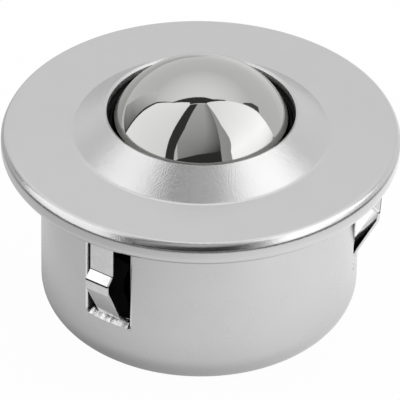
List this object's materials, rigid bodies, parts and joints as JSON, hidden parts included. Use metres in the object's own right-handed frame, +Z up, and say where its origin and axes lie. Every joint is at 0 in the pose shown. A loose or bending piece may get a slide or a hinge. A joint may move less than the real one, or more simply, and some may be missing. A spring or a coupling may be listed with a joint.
{
  "type": "ball transfer unit",
  "caption": "Flanged ball transfer unit: a steel load ball on a bed of small balls in a pressed cup, held in a round panel hole by spring clips.",
  "frame": {"origin": "centre of the flat base ring, on the load ball's vertical axis", "axes": "+Z up through the load ball; the first clip window faces -Y and -X"},
  "size_m": [0.045, 0.045, 0.0312],
  "materials": {
    "plated_steel": "bright zinc plate, satin",
    "spring_steel": "plated spring strip, bright",
    "ball_steel": "mirror polished bearing steel",
    "hardened_steel": "hardened, dark",
    "retainer_steel": "plain strip",
    "felt": "oiled black felt"
  },
  "bodies": {
    "housing": {"casing": "plated_steel", "top_cover": "plated_steel", "ball_cup": "hardened_steel", "ball_retainer": "retainer_steel", "wiper_ring": "felt"},
    "support_balls": {"support_ball_bottom": "ball_steel", "support_row_1": "ball_steel", "support_row_2": "ball_steel", "support_row_3": "ball_steel", "support_row_4": "ball_steel", "support_rows_upper": "ball_steel"},
    "load_ball": {"load_ball": "ball_steel"},
    "clip_1": {"clip_1": "spring_steel"},
    "clip_2": {"clip_2": "spring_steel"},
    "clip_3": {"clip_3": "spring_steel"}
  },
  "joints": [
    {"name": "support_ball_orbit", "type": "hinge", "parent": "housing", "child": "support_balls", "pos_m": [0, 0, 0.0201], "axis": [0, 0, 1], "continuous": true},
    {"name": "load_ball_roll", "type": "hinge", "parent": "support_balls", "child": "load_ball", "pos_m": [0, 0, 0.0201], "axis": [1, 0, 0], "continuous": true},
    {"name": "clip_1_press", "type": "hinge", "parent": "housing", "child": "clip_1", "pos_m": [-0.00952, -0.01381, 0.02007], "axis": [0.8231, -0.5678, 0], "range_deg": [0, 21], "stiffness_Nm_per_rad": 0.1},
    {"name": "clip_2_press", "type": "hinge", "parent": "housing", "child": "clip_2", "pos_m": [0.01672, -0.00135, 0.02007], "axis": [0.0802, 0.9968, 0], "range_deg": [0, 21], "stiffness_Nm_per_rad": 0.1},
    {"name": "clip_3_press", "type": "hinge", "parent": "housing", "child": "clip_3", "pos_m": [-0.00719, 0.01515, 0.02007], "axis": [-0.9033, -0.4289, 0], "range_deg": [0, 21], "stiffness_Nm_per_rad": 0.1}
  ]
}
